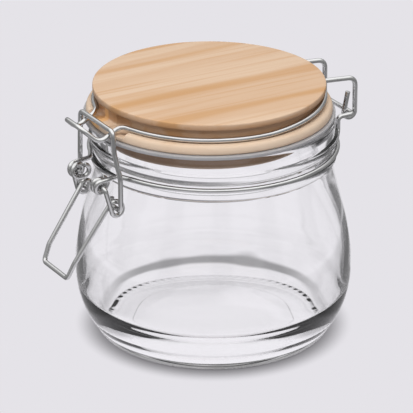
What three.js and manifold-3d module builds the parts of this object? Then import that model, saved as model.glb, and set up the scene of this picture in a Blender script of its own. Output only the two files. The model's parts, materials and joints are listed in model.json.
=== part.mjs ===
// Clip-top storage jar: a glass body, a turned wooden lid with its sealing ring, and four bent wires
// that make the rear hinge and the over-centre latch. Millimetres, +Z up. The jar's axis is Z and it
// stands on z = 0. The latch faces -Y and the hinge +Y, and every wire is symmetric about x = 0.

import * as THREE from 'three';
import { mergeVertices } from 'three/addons/utils/BufferGeometryUtils.js';
import Module from 'manifold-3d';

// Glass body
const BODY_RADIUS = 56; // widest part of the belly
const BELLY_HEIGHT = 28; // height of the widest part
const HEEL_RADIUS = 48.8; // where the heel's curve runs into the belly
const HEEL_HEIGHT = 4;
const FOOT_RADIUS = 45.6; // outer edge of the flat ring that the jar stands on
const FOOT_WIDTH = 5;
const PUSH_UP_HEIGHT = 1; // the underside is hollow inside the standing ring
const PUSH_UP_RADIUS = 32;
const WALL = 3;
const FLOOR = 2.4; // glass between the push-up and the inside of the jar
const INSIDE_CORNER = 8; // width of the curve between the inner wall and the floor
const CORNER_RUN = 4.4; // where the wall would meet the floor without it
const CORNER_RISE = 8.8; // height of the curve, which starts at the heel's radius
const SHOULDER_HEIGHT = 72.6; // where the body ends and the neck starts
const SHOULDER_INSET = 2.7; // the neck starts this far inside the collar
const SHOULDER_EASE = 2.5; // how far out the shoulder's curve starts to turn upright
const SHOULDER_WALL = 3.6;

// Glass neck, from the shoulder up: a bead, a groove for the neck wire and a tall collar
const COLLAR_RADIUS = 50;
const COLLAR_HEIGHT = 11.8;
const BAND_STEP = 0.5; // fine step below the bead
const BEAD_INSET = 0.6; // the bead is this much slimmer than the collar
const BEAD_HEIGHT = 4.5;
const GROOVE_DEPTH = 1.7;
const LIP_HEIGHT = 5; // rounded lip at the foot of the collar
const LIP_SWELL = 1.1; // how far out the lip's curve is drawn
const LIP_CREASE = 0.25;
const RIM_INSET = 1.3; // the collar above the lip is this much slimmer
const RIM_WIDTH = 7.5; // from the lip to the mouth
const RIM_ROUNDING = 2;

// Wires
const WIRE = 2; // diameter
const TIGHT_BEND = 2; // bend radius at the middle of the wire, in the latch and the hinge staple
const GAP = 0.3; // room between pieces that touch on the real jar
const COIL_PITCH = WIRE + 0.5;
const NECK_EYE_RADIUS = 2.5; // middle of the wire
const LEVER_EYE_RADIUS = 2.7;
const HINGE_HOOK_RADIUS = 2.6;

// Sealing ring
const SEAL_THICKNESS = 1;
const SEAL_OVERHANG = 0.2; // past the collar's radius

// Wooden lid, turned from one piece: plug, flange, groove for the lid wire and top
const LID_FORWARD = 1.9; // the latch draws the lid this far towards itself
const PLUG_PLAY = 0.4; // between plug and mouth at the front, where the lid is drawn to
const PLUG_DEPTH = 8.6;
const FLANGE_INSET = 0.9; // the flange is this much slimmer than the collar
const FLANGE_THICKNESS = 3.9;
const LID_GROOVE_HEIGHT = 5.2;
const LID_GROOVE_DEPTH = 1.8;
const TOP_INSET = 2.7; // the top is this much slimmer than the flange
const TOP_THICKNESS = 2.8;
const EDGE_ROUNDING = 1.2;
const NOTCH_RADIUS = 5.5; // scoops that let the lid wire turn out of its groove at the front
const NOTCH_DEPTH = 2.2;

// Rear hinge
const HINGE_WIDTH = 29; // between the two risers of the neck wire
const HINGE_REACH = 6.8; // from the collar to the hinge bar
const HINGE_RISE = 6.35; // from the neck wire's groove to the hinge bar
const RISER_STAND_OFF = 0.7;
const RISER_LEAD = 6; // the wire leaves its groove this far beside the riser
const LID_ARM_SPAN = 23; // between the two arms of the lid wire
const ARM_LEAD = 5; // the lid wire leaves its groove this far beside the arm
const ARM_BEND = 4;
const STUB_LENGTH = 8.8; // free end of the lid wire above the hinge bar
const STUB_LEAN = 1.8;
const BAIL_RISE = 2; // the lid wire climbs in its groove towards the rear
const ARM_FALL = 1.4; // and its arms slope down to the hinge

// Hook at the front of the lid wire
const HOOK_WIDTH = 19.2;
const HOOK_BEND = 4.5;
const HOOK_LEAD = 6.5; // the lid wire leaves its groove this far beside the hook
const TIP_WIDTH = 12.6;
const HOOK_DIP = 5.3; // from the lid wire's groove down to the hook's valley
const HOOK_REACH = 13; // from the collar to the hook's tip
const HOOK_VALLEY = 6.5; // from the collar to the hook's valley
const TIP_RISE = 6.2; // from the valley to the tip

// Latch: the neck wire's eyes carry the lever, and the lever's eyes carry the link
const NECK_EYE_SPAN = 22.8; // between the outer turns of the two neck eyes
const NECK_EYE_REACH = 6.7; // from the collar to the lever's pivot
const NECK_EYE_DROP = 3.25; // from the neck wire's groove to the lever's pivot
const NECK_EYE_TURNS = 1.48;
const NECK_EYE_LEAD = 6; // the wire leaves its groove this far beside the eye
const NECK_EYE_TAIL = 1.9; // how far the wire's free end curls back towards the neck
const TAIL_TURNS = 0.475;
const CRANK_DOWN = 9.4; // from the lever's pivot to the link's pivot
const LEVER_EYE_CLEARANCE = 0.2; // between the lever's eye and the shoulder of the glass
const CRANK_SPLAY = 0.5; // the cranks spread a little downwards
const HANDLE_OUT = 15.1; // from the lever's pivot to the middle of the handle's end
const HANDLE_DOWN = 36.2;
const HANDLE_WIDTH = 19.6;
const KNEE_LENGTH = 7; // lowest stretch of the handle, bent steeper
const KNEE_OUT = 2.8;
const LINK_WIDTH = 26.8; // at its top bar
const LINK_SPLAY = 0.6; // the legs spread a little below the bar
const LINK_BAR_LIFT = 5.1; // top bar above the hook's valley
const LINK_BAR_REACH = 2.6; // from the collar to the top bar
const LINK_KNEE_LOW = 13.7; // the legs' dog-leg, above the link's pivot
const LINK_KNEE_HIGH = 23.7;
const LINK_CURL = 3.6; // turned-up end of the link's pin
const PIN_TAIL = 1.2; // how far the lever's pin sticks out of the neck eye

// Faceting
const TURNED_SEGMENTS = 44;
const CURVE_STEPS = 4;
const WIRE_SIDES = 8;
const ARC_STEP = THREE.MathUtils.degToRad(9);
const COIL_STEPS = 12; // for each turn

// Heights and radii that follow from the sizes above
const QUARTER = Math.PI / 2;
// A polygon of the wire's own cross-section reaches a little past the wire's radius.
const SIDE_ANGLE = (2 * Math.PI) / WIRE_SIDES;
const SECTION_RADIUS = (WIRE / 2) * Math.sqrt(SIDE_ANGLE / Math.sin(SIDE_ANGLE));
const shoulderRadius = COLLAR_RADIUS - SHOULDER_INSET;
const beadRadius = COLLAR_RADIUS - BEAD_INSET;
const mouthRadius = COLLAR_RADIUS - RIM_WIDTH;
const grooveBottom = SHOULDER_HEIGHT + BEAD_HEIGHT;
const grooveTop = grooveBottom + 2 * (SECTION_RADIUS + GAP);
const grooveRadius = COLLAR_RADIUS - GROOVE_DEPTH;
const ringHeight = (grooveBottom + grooveTop) / 2;
const ringRadius = grooveRadius + GAP + SECTION_RADIUS;
const rimHeight = grooveTop + COLLAR_HEIGHT;
const sealBottom = rimHeight + GAP;
const sealTop = sealBottom + SEAL_THICKNESS;
const sealRadius = COLLAR_RADIUS + SEAL_OVERHANG;
const flangeBottom = sealTop + GAP;
const flangeTop = flangeBottom + FLANGE_THICKNESS;
const topBottom = flangeTop + LID_GROOVE_HEIGHT;
const lidTop = topBottom + TOP_THICKNESS;
const plugRadius = mouthRadius - LID_FORWARD - PLUG_PLAY;
const flangeRadius = COLLAR_RADIUS - FLANGE_INSET;
const topRadius = flangeRadius - TOP_INSET;
const lidGrooveRadius = topRadius - LID_GROOVE_DEPTH;
const bailRadius = lidGrooveRadius + GAP + SECTION_RADIUS;
const bailHeight = flangeTop + GAP + SECTION_RADIUS;
const hinge = { y: COLLAR_RADIUS + HINGE_REACH, z: ringHeight + HINGE_RISE };
const leverPivot = { y: -COLLAR_RADIUS - NECK_EYE_REACH, z: ringHeight - NECK_EYE_DROP };
const hookValley = bailHeight - HOOK_DIP;
// Side by side along X, from the middle outwards: neck eye, crank of the lever, leg of the link.
const neckEyeX = NECK_EYE_SPAN / 2;
const crankX = neckEyeX + 2 * SECTION_RADIUS + GAP;
const leverEyeX = crankX + CRANK_SPLAY;
const handleX = leverEyeX - COIL_PITCH;
const linkLegX = leverEyeX + 2 * SECTION_RADIUS + GAP;
const linkCurlX = handleX - 2 * SECTION_RADIUS - GAP;

// The shoulder's curve, from the belly up to the neck, as radius and height.
const shoulderRun = SHOULDER_HEIGHT - BELLY_HEIGHT;
const shoulder = new THREE.CubicBezierCurve(
  new THREE.Vector2(BODY_RADIUS, BELLY_HEIGHT),
  new THREE.Vector2(BODY_RADIUS, BELLY_HEIGHT + 0.38 * shoulderRun),
  new THREE.Vector2(shoulderRadius + SHOULDER_EASE, BELLY_HEIGHT + 0.68 * shoulderRun),
  new THREE.Vector2(shoulderRadius, SHOULDER_HEIGHT),
);

// The lever's eyes hang as close to the shoulder as their clearance lets them.
const linkPivot = { z: leverPivot.z - CRANK_DOWN };
const eyeReach = LEVER_EYE_RADIUS + SECTION_RADIUS + LEVER_EYE_CLEARANCE;
linkPivot.y = -shoulder.getPoints(100).reduce((furthest, { x: radius, y: height }) => {
  const lift = height - linkPivot.z;
  if (Math.abs(lift) > eyeReach) return furthest;
  const glassY = Math.sqrt(radius ** 2 - handleX ** 2);
  return Math.max(furthest, glassY + Math.sqrt(eyeReach ** 2 - lift ** 2));
}, 0);

const glass = new THREE.MeshStandardMaterial({ color: 0xdfe3e4, roughness: 0.05, metalness: 0 });
const wood = new THREE.MeshStandardMaterial({ color: 0xdfbd93, roughness: 0.6, metalness: 0 });
const silicone = new THREE.MeshStandardMaterial({ color: 0xc4c0c0, roughness: 0.4, metalness: 0 });
const steel = new THREE.MeshStandardMaterial({ color: 0xb4b6b8, roughness: 0.25, metalness: 1 });

const at = (x, y, z) => new THREE.Vector3(x, y, z);

// A solid of revolution about Z from a profile of radius and height.
function turned(profile) {
  const geometry = new THREE.LatheGeometry(profile.getPoints(CURVE_STEPS), TURNED_SEGMENTS);
  return geometry.rotateX(QUARTER);
}

// A wire's middle line as chosen points, so that each step of the extrusion lands on one of them.
class WireLine extends THREE.Curve {
  constructor(points) {
    super();
    this.points = points;
  }
  getPoint(t, target = new THREE.Vector3()) {
    const place = t * (this.points.length - 1);
    const i = Math.min(Math.floor(place), this.points.length - 2);
    return target.lerpVectors(this.points[i], this.points[i + 1], place - i);
  }
  getPointAt(u, target) {
    return this.getPoint(u, target);
  }
  getTangentAt(u, target = new THREE.Vector3()) {
    const last = this.points.length - 1;
    const i = Math.round(u * last);
    const here = this.points[i];
    const before = here.clone().sub(this.points[Math.max(i - 1, 0)]).normalize();
    const after = this.points[Math.min(i + 1, last)].clone().sub(here).normalize();
    return target.addVectors(before, after).normalize();
  }
}

// Rounds each sharp corner of a route, and leaves the small turns of arcs and coils as they are.
function rounded(route, radius) {
  const SHARP = THREE.MathUtils.degToRad(33);
  const STEP = THREE.MathUtils.degToRad(22);
  const points = [route[0]];
  for (let i = 1; i < route.length - 1; i++) {
    const back = route[i - 1].clone().sub(route[i]);
    const ahead = route[i + 1].clone().sub(route[i]);
    const turn = Math.PI - back.angleTo(ahead);
    if (turn < SHARP) {
      points.push(route[i]);
      continue;
    }
    const cut = Math.min(radius * Math.tan(turn / 2), 0.48 * back.length(), 0.48 * ahead.length());
    const from = route[i].clone().addScaledVector(back.normalize(), cut);
    const to = route[i].clone().addScaledVector(ahead.normalize(), cut);
    const bend = new THREE.QuadraticBezierCurve3(from, route[i], to);
    points.push(...bend.getPoints(Math.ceil(turn / STEP)));
  }
  points.push(route.at(-1));
  return points;
}

// A bent wire. The route runs from one end to the middle, at x = 0, and its mirror image completes it.
function bentWire(half) {
  const mirrored = half.slice(0, -1).map((p) => at(-p.x, p.y, p.z)).reverse();
  const points = [...half, ...mirrored];
  const section = new THREE.Shape();
  for (let i = 0; i < WIRE_SIDES; i++) {
    const angle = ((i + 0.5) / WIRE_SIDES) * 2 * Math.PI;
    const corner = [SECTION_RADIUS * Math.cos(angle), SECTION_RADIUS * Math.sin(angle)];
    if (i === 0) section.moveTo(...corner);
    else section.lineTo(...corner);
  }
  const extrudePath = new WireLine(points);
  return new THREE.ExtrudeGeometry(section, { steps: points.length - 1, extrudePath, curveSegments: 1 });
}

// Points of an arc about the jar's axis, from one X to another, on the +X side.
function arcRoundJar(radius, z, rearX, frontX) {
  const from = Math.acos(rearX / radius);
  const to = -Math.acos(frontX / radius);
  const steps = Math.ceil((from - to) / ARC_STEP);
  return Array.from({ length: steps + 1 }, (_, i) => {
    const angle = THREE.MathUtils.lerp(from, to, i / steps);
    return at(radius * Math.cos(angle), radius * Math.sin(angle), z);
  });
}

// How far along Y a wire that leaves an arc about the axis on its tangent meets the line of a leg.
function tangentReach(radius, leaveX, legX) {
  return (radius ** 2 - leaveX * legX) / Math.sqrt(radius ** 2 - leaveX ** 2);
}

// Points of a coil whose axis is along X, turning from +Y towards +Z, while it moves from one X to
// another.
function coil(centre, radius, fromAngle, toAngle, fromX, toX) {
  const steps = Math.ceil((Math.abs(toAngle - fromAngle) / (2 * Math.PI)) * COIL_STEPS);
  return Array.from({ length: steps + 1 }, (_, i) => {
    const t = i / steps;
    const angle = THREE.MathUtils.lerp(fromAngle, toAngle, t);
    const x = THREE.MathUtils.lerp(fromX, toX, t);
    return at(x, centre.y + radius * Math.cos(angle), centre.z + radius * Math.sin(angle));
  });
}

// The angle at which a straight wire from a point meets a coil, and at which one leaves it for a point.
function meetingAngle(point, centre, radius) {
  const y = centre.y - point.y;
  const z = centre.z - point.z;
  return Math.atan2(z, y) - Math.asin(radius / Math.hypot(y, z)) - QUARTER;
}
function leavingAngle(centre, point, radius) {
  const y = point.y - centre.y;
  const z = point.z - centre.z;
  return Math.atan2(z, y) - Math.acos(radius / Math.hypot(y, z));
}

// The smallest angle of the same direction that comes after another one.
function after(angle, other) {
  const turn = 2 * Math.PI;
  return angle + turn * Math.ceil((other - angle) / turn);
}

function glassJar() {
  const footInner = FOOT_RADIUS - FOOT_WIDTH;
  const floorTop = PUSH_UP_HEIGHT + FLOOR;
  const bellyLift = (BELLY_HEIGHT - HEEL_HEIGHT) * 0.45;
  const innerBelly = BODY_RADIUS - WALL;
  const innerShoulder = shoulderRadius - SHOULDER_WALL;
  const heelRun = 0.6 * (BODY_RADIUS - HEEL_RADIUS);
  const heelRise = 0.23 * (BELLY_HEIGHT - HEEL_HEIGHT);
  const rimRadius = COLLAR_RADIUS - RIM_INSET;
  const lipTop = grooveTop + LIP_HEIGHT;
  const profile = new THREE.Path();
  // Underside and heel
  profile.moveTo(0, PUSH_UP_HEIGHT);
  profile.lineTo(PUSH_UP_RADIUS, PUSH_UP_HEIGHT);
  profile.quadraticCurveTo(footInner - 1, PUSH_UP_HEIGHT, footInner, 0);
  profile.lineTo(FOOT_RADIUS, 0);
  profile.quadraticCurveTo((FOOT_RADIUS + HEEL_RADIUS) / 2, 0, HEEL_RADIUS, HEEL_HEIGHT);
  // Belly and shoulder
  profile.bezierCurveTo(
    HEEL_RADIUS + heelRun, HEEL_HEIGHT + heelRise,
    BODY_RADIUS, BELLY_HEIGHT - bellyLift, BODY_RADIUS, BELLY_HEIGHT);
  profile.curves.push(shoulder);
  profile.currentPoint.copy(shoulder.v3);
  // Neck: bead, groove, lip, collar and rim
  profile.lineTo(shoulderRadius + BAND_STEP, SHOULDER_HEIGHT + BAND_STEP);
  profile.quadraticCurveTo(
    beadRadius, SHOULDER_HEIGHT + 2 * BAND_STEP, beadRadius, SHOULDER_HEIGHT + BEAD_HEIGHT / 2);
  profile.quadraticCurveTo(beadRadius, grooveBottom, grooveRadius, grooveBottom);
  profile.lineTo(grooveRadius, grooveTop);
  profile.lineTo(grooveRadius + LIP_CREASE, grooveTop);
  profile.quadraticCurveTo(COLLAR_RADIUS + LIP_SWELL, lipTop - LIP_SWELL, rimRadius + LIP_CREASE, lipTop);
  profile.lineTo(rimRadius, lipTop + LIP_CREASE);
  profile.lineTo(rimRadius, rimHeight - RIM_ROUNDING);
  profile.quadraticCurveTo(rimRadius, rimHeight, rimRadius - RIM_ROUNDING, rimHeight);
  profile.lineTo(mouthRadius + RIM_ROUNDING, rimHeight);
  // Inside, down to the middle of the floor
  profile.quadraticCurveTo(mouthRadius, rimHeight, mouthRadius, rimHeight - RIM_ROUNDING);
  profile.lineTo(mouthRadius, grooveBottom);
  profile.quadraticCurveTo(mouthRadius, SHOULDER_HEIGHT, innerShoulder, SHOULDER_HEIGHT - BEAD_HEIGHT);
  profile.bezierCurveTo(
    shoulderRadius + SHOULDER_EASE - WALL, BELLY_HEIGHT + 0.6 * shoulderRun,
    innerBelly, BELLY_HEIGHT + 0.38 * shoulderRun, innerBelly, BELLY_HEIGHT);
  profile.bezierCurveTo(
    innerBelly, BELLY_HEIGHT - bellyLift,
    HEEL_RADIUS + CORNER_RUN, floorTop + 2 * CORNER_RISE, HEEL_RADIUS, floorTop + CORNER_RISE);
  profile.quadraticCurveTo(HEEL_RADIUS - CORNER_RUN, floorTop, HEEL_RADIUS - INSIDE_CORNER, floorTop);
  profile.lineTo(0, floorTop);
  return turned(profile);
}

// The manifold solid of a geometry, and back again.
const wasm = await Module();
wasm.setup();
function solidOf(geometry) {
  geometry.deleteAttribute('normal');
  geometry.deleteAttribute('uv');
  const merged = mergeVertices(geometry, 1e-4);
  const { position } = merged.attributes;
  const triVerts = new Uint32Array(merged.index.array);
  return new wasm.Manifold(new wasm.Mesh({ numProp: 3, vertProperties: position.array, triVerts }));
}
function geometryOf(solid) {
  const mesh = solid.getMesh();
  const geometry = new THREE.BufferGeometry();
  geometry.setAttribute('position', new THREE.BufferAttribute(mesh.vertProperties, 3));
  geometry.setIndex(new THREE.BufferAttribute(mesh.triVerts, 1));
  geometry.computeVertexNormals();
  return geometry;
}

function woodenLid() {
  const profile = new THREE.Path();
  profile.moveTo(0, flangeBottom - PLUG_DEPTH);
  profile.lineTo(plugRadius - EDGE_ROUNDING, flangeBottom - PLUG_DEPTH);
  profile.lineTo(plugRadius, flangeBottom - PLUG_DEPTH + EDGE_ROUNDING);
  profile.lineTo(plugRadius, flangeBottom);
  profile.lineTo(flangeRadius - EDGE_ROUNDING, flangeBottom);
  profile.quadraticCurveTo(flangeRadius, flangeBottom, flangeRadius, flangeBottom + EDGE_ROUNDING);
  profile.quadraticCurveTo(flangeRadius, flangeTop, flangeRadius - 1.5 * EDGE_ROUNDING, flangeTop);
  // The groove's wall is hollowed and runs out to the edge of the top.
  profile.lineTo(lidGrooveRadius, flangeTop);
  profile.lineTo(lidGrooveRadius, flangeTop + LID_GROOVE_HEIGHT / 2);
  profile.quadraticCurveTo(lidGrooveRadius, topBottom, topRadius - EDGE_ROUNDING / 2, topBottom);
  profile.quadraticCurveTo(topRadius, topBottom, topRadius, topBottom + EDGE_ROUNDING);
  profile.quadraticCurveTo(topRadius, lidTop, topRadius - EDGE_ROUNDING, lidTop);
  profile.lineTo(0, lidTop);
  // A round cutter, upright, opens the groove and the flange where each end of the hook turns out.
  const notchBottom = flangeTop - NOTCH_DEPTH;
  const notchTop = topBottom - GAP;
  const bite = Math.sqrt(bailRadius ** 2 - (HOOK_WIDTH / 2) ** 2) + WIRE;
  const lid = [-1, 1].reduce((solid, side) => {
    const cutter = new THREE.CylinderGeometry(NOTCH_RADIUS, NOTCH_RADIUS, notchTop - notchBottom, 24);
    cutter.rotateX(QUARTER).translate((side * HOOK_WIDTH) / 2, -bite, (notchTop + notchBottom) / 2);
    return solid.subtract(solidOf(cutter));
  }, solidOf(turned(profile)));
  return geometryOf(lid);
}

function sealingRing() {
  const profile = new THREE.Path();
  const inner = plugRadius + GAP;
  const edge = SEAL_THICKNESS / 4;
  profile.moveTo(inner, sealBottom);
  profile.lineTo(sealRadius - edge, sealBottom);
  profile.lineTo(sealRadius, sealBottom + edge);
  profile.lineTo(sealRadius, sealTop - edge);
  profile.lineTo(sealRadius - edge, sealTop);
  profile.lineTo(inner, sealTop);
  profile.lineTo(inner, sealBottom);
  return turned(profile);
}

// One wire: an eye at each front end, round the neck in its groove, and up into the hinge staple
// at the rear.
function neckRing() {
  const leaves = { y: -ringRadius, z: ringHeight };
  const meets = after(meetingAngle(leaves, leverPivot, NECK_EYE_RADIUS), 0);
  const ends = after(3 * QUARTER, meets + (NECK_EYE_TURNS - 0.5) * 2 * Math.PI);
  const innerX = neckEyeX - (COIL_PITCH * (ends - meets)) / (2 * Math.PI);
  const tailCentre = { y: leverPivot.y + NECK_EYE_TAIL, z: leverPivot.z };
  const tailEnd = ends + TAIL_TURNS * 4 * QUARTER;
  const tail = coil(tailCentre, NECK_EYE_RADIUS, tailEnd, ends, innerX - GAP, innerX);
  const eye = coil(leverPivot, NECK_EYE_RADIUS, ends, meets, innerX, neckEyeX);
  const riserX = HINGE_WIDTH / 2;
  const riserY = Math.sqrt(COLLAR_RADIUS ** 2 - riserX ** 2) + SECTION_RADIUS + RISER_STAND_OFF;
  const rearX = riserX + RISER_LEAD;
  const frontX = neckEyeX + NECK_EYE_LEAD;
  const round = arcRoundJar(ringRadius, ringHeight, rearX, frontX).reverse();
  return bentWire(rounded([
    ...tail,
    ...eye,
    at(neckEyeX, leaves.y, leaves.z),
    ...round,
    at(riserX, riserY, ringHeight),
    at(riserX, riserY, hinge.z),
    at(riserX, hinge.y, hinge.z),
    at(0, hinge.y, hinge.z),
  ], TIGHT_BEND));
}

// One wire: stub ends hooked round the hinge bar, round the lid in its groove, and out into the
// front hook.
function lidBail() {
  const armX = LID_ARM_SPAN / 2;
  const hookX = HOOK_WIDTH / 2;
  const armTop = bailHeight + BAIL_RISE;
  const hookRound = coil(hinge, HINGE_HOOK_RADIUS, -2 * QUARTER, 0, armX, armX);
  const rearReach = tangentReach(bailRadius, armX + ARM_LEAD, armX);
  const frontReach = tangentReach(bailRadius, hookX + HOOK_LEAD, hookX);
  const round = arcRoundJar(bailRadius, bailHeight, armX + ARM_LEAD, hookX + HOOK_LEAD);
  round.forEach((p) => {
    p.z += BAIL_RISE * Math.max(p.y / rearReach, 0);
    p.y -= LID_FORWARD;
  });
  const rear = [
    at(armX, hinge.y - HINGE_HOOK_RADIUS + STUB_LEAN, hinge.z + STUB_LENGTH),
    ...hookRound,
    at(armX, hinge.y + HINGE_HOOK_RADIUS, armTop - ARM_FALL),
    at(armX, rearReach - LID_FORWARD, armTop),
    round[0],
  ];
  const front = [
    round.at(-1),
    at(hookX, -frontReach - LID_FORWARD, bailHeight),
    at(hookX, -COLLAR_RADIUS - HOOK_VALLEY, hookValley),
    at(TIP_WIDTH / 2, -COLLAR_RADIUS - HOOK_REACH, hookValley + TIP_RISE),
    at(0, -COLLAR_RADIUS - HOOK_REACH, hookValley + TIP_RISE),
  ];
  return bentWire([...rounded(rear, ARM_BEND), ...round.slice(1, -1), ...rounded(front, HOOK_BEND)]);
}

// One wire: pins in the neck's eyes, cranks down to an eye on each side, and a long handle.
function latchLever() {
  const end = { y: leverPivot.y - HANDLE_OUT, z: leverPivot.z - HANDLE_DOWN };
  const knee = { y: end.y + KNEE_OUT, z: end.z + Math.sqrt(KNEE_LENGTH ** 2 - KNEE_OUT ** 2) };
  const pinEnd = neckEyeX - COIL_PITCH - SECTION_RADIUS - PIN_TAIL;
  const meets = meetingAngle(leverPivot, linkPivot, LEVER_EYE_RADIUS);
  const leaves = after(leavingAngle(linkPivot, knee, LEVER_EYE_RADIUS), meets);
  return bentWire(rounded([
    at(pinEnd, leverPivot.y, leverPivot.z),
    at(crankX, leverPivot.y, leverPivot.z),
    ...coil(linkPivot, LEVER_EYE_RADIUS, meets, leaves, leverEyeX, handleX),
    at((handleX + HANDLE_WIDTH / 2) / 2, knee.y, knee.z),
    at(HANDLE_WIDTH / 2, end.y, end.z),
    at(0, end.y, end.z),
  ], TIGHT_BEND));
}

// One wire: pins in the lever's eyes, two legs with a dog-leg, and the top bar that pulls on the hook.
function latchLink() {
  const bar = { y: -COLLAR_RADIUS - LINK_BAR_REACH, z: hookValley + LINK_BAR_LIFT };
  const barX = LINK_WIDTH / 2;
  return bentWire(rounded([
    at(linkCurlX, linkPivot.y, linkPivot.z + LINK_CURL),
    at(linkCurlX, linkPivot.y, linkPivot.z),
    at(linkLegX, linkPivot.y, linkPivot.z),
    at(linkLegX, linkPivot.y, linkPivot.z + LINK_KNEE_LOW),
    at(barX + LINK_SPLAY, bar.y, linkPivot.z + LINK_KNEE_HIGH),
    at(barX, bar.y, bar.z),
    at(0, bar.y, bar.z),
  ], TIGHT_BEND));
}

const jar = new THREE.Group();
function add(name, geometry, material, forward = 0) {
  const mesh = new THREE.Mesh(geometry, material);
  mesh.name = name;
  mesh.position.y = -forward;
  jar.add(mesh);
}
add('glass_jar', glassJar(), glass);
add('neck_ring', neckRing(), steel);
add('sealing_ring', sealingRing(), silicone, LID_FORWARD);
add('wooden_lid', woodenLid(), wood, LID_FORWARD);
add('lid_bail', lidBail(), steel);
add('latch_lever', latchLever(), steel);
add('latch_link', latchLink(), steel);

export default jar;
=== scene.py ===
# %% [markdown]
# # A clip-top jar in blown glass, turned pine and bent wire
#
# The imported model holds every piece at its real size, as plain faceted solids. This lesson makes each of
# them again as a smooth mesh in the same place, and gives it the finish of the real jar: clear glass, pale
# pine, a translucent sealing ring and bright steel wire. Everything is in metres, apart from sizes that
# are named in millimetres. The jar stands on z = 0 with its axis along Z, the latch faces -Y and the hinge
# faces +Y.

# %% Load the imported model
import json
import math

import bmesh
import bpy
from mathutils import Matrix, Vector
from mathutils.geometry import interpolate_bezier


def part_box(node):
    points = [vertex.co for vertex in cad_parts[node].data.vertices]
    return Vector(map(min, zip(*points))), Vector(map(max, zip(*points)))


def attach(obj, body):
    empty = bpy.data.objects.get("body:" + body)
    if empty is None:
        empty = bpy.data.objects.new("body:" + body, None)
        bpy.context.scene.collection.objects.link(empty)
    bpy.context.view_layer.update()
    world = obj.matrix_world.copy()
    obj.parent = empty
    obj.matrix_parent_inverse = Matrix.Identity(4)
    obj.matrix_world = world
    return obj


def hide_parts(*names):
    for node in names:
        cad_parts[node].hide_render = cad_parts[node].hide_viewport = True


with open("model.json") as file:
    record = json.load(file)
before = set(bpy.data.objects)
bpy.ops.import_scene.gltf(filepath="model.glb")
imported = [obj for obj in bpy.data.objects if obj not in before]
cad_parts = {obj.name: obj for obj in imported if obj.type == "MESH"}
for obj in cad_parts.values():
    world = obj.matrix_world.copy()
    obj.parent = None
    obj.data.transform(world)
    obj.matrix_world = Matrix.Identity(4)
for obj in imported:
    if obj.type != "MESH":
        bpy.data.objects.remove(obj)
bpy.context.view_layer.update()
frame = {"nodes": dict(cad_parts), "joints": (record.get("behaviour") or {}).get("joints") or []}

MM = 0.001
pivot = {joint["name"]: Vector(joint["pos_m"]) / MM for joint in frame["joints"]}
print("pieces to dress:", ", ".join(sorted(frame["nodes"])))
print("pivots in mm:", {name: [round(v, 2) for v in place] for name, place in pivot.items()})

# %% [markdown]
# ## Shader maths as Python
#
# A finish is a tree of nodes. Wiring it by hand hides the idea behind dozens of link calls, so one small
# class wraps a socket and overloads the operators: `1 - grain * 0.3` adds the two Math nodes by itself.
# Every other node comes from one method, which sets the node up first and then fills its sockets.


# %% The socket class
class Signal:
    """A node's output that can stand in a Python expression."""

    def __init__(self, finish, socket):
        self.finish = finish
        self.socket = socket

    def math(self, operation, *values):
        return self.finish.node("Math", {"operation": operation}, dict(enumerate(values)))

    def __add__(self, other):
        return self.math("ADD", self, other)

    def __sub__(self, other):
        return self.math("SUBTRACT", self, other)

    def __rsub__(self, other):
        return self.math("SUBTRACT", other, self)

    def __mul__(self, other):
        return self.math("MULTIPLY", self, other)

    def __truediv__(self, other):
        return self.math("DIVIDE", self, other)

    def __pow__(self, other):
        return self.math("POWER", self, other)

    def __abs__(self):
        return self.math("ABSOLUTE", self)

    def function(self, operation):
        """A function of this one value, such as its cosine."""
        return self.math(operation, self)

    def or_more(self, other):
        return self.math("MAXIMUM", self, other)

    def ease(self, start, end):
        """0 before start, 1 after end, and a smooth step between them."""
        limits = {"Value": self, "From Min": start, "From Max": end}
        return self.finish.node("MapRange", {"interpolation_type": "SMOOTHSTEP"}, limits)

    __radd__ = __add__
    __rmul__ = __mul__


# %% The node method
class Finish:
    """A node tree being built, of a material or of the world."""

    def __init__(self, tree, output="OutputMaterial"):
        self.tree = tree
        tree.nodes.clear()
        self.output = tree.nodes.new("ShaderNode" + output)

    def node(self, kind, settings=None, sockets=None, out=0):
        made = self.tree.nodes.new("ShaderNode" + kind)
        for name, value in (settings or {}).items():
            setattr(made, name, value)
        for name, value in (sockets or {}).items():
            if isinstance(value, Signal):
                self.tree.links.new(value.socket, made.inputs[name])
            else:
                made.inputs[name].default_value = value
        return Signal(self, made.outputs[out])

    def show(self, shader):
        self.tree.links.new(shader.socket, self.output.inputs["Surface"])

    def mix(self, factor, first, second):
        """A colour between two colours."""
        first, second = (c if isinstance(c, Signal) else (*c, 1) for c in (first, second))
        return self.node("Mix", {"data_type": "RGBA"}, {0: factor, 6: first, 7: second}, out=2)

    def noise(self, place, scale, detail=2):
        return self.node("TexNoise", None, {"Vector": place, "Scale": scale, "Detail": detail})

    def stretched(self, place, scale):
        """Coordinates scaled along each axis, so that a pattern is longer one way than another."""
        return self.node("Mapping", None, {"Vector": place, "Scale": scale})

    def parts(self, place):
        """The X, Y and Z of coordinates."""
        return [self.node("SeparateXYZ", None, {"Vector": place}, out=axis) for axis in "XYZ"]


def new_finish(name):
    material = bpy.data.materials.new(name)
    material.use_nodes = True
    return material, Finish(material.node_tree)


print("shader maths ready")

# %% [markdown]
# ## Camera
#
# The camera comes first, because everything after it is judged through it. A long lens some way off, 23
# degrees above the table and 60 degrees round from the latch, gives the flat perspective of a product
# picture. It looks just past the middle of the jar, so that the jar sits a little off the centre of a
# square frame.

# %% Place the camera
VIEW_ROUND = math.radians(60)
VIEW_DOWN = math.radians(23.21)
CAMERA_DISTANCE = 1.2904
LENS = 278.9
SENSOR = 36
AIM = Vector((0, 0, 0.05))
AIM_LEFT = 0.002754
AIM_UP = 0.000726

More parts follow.
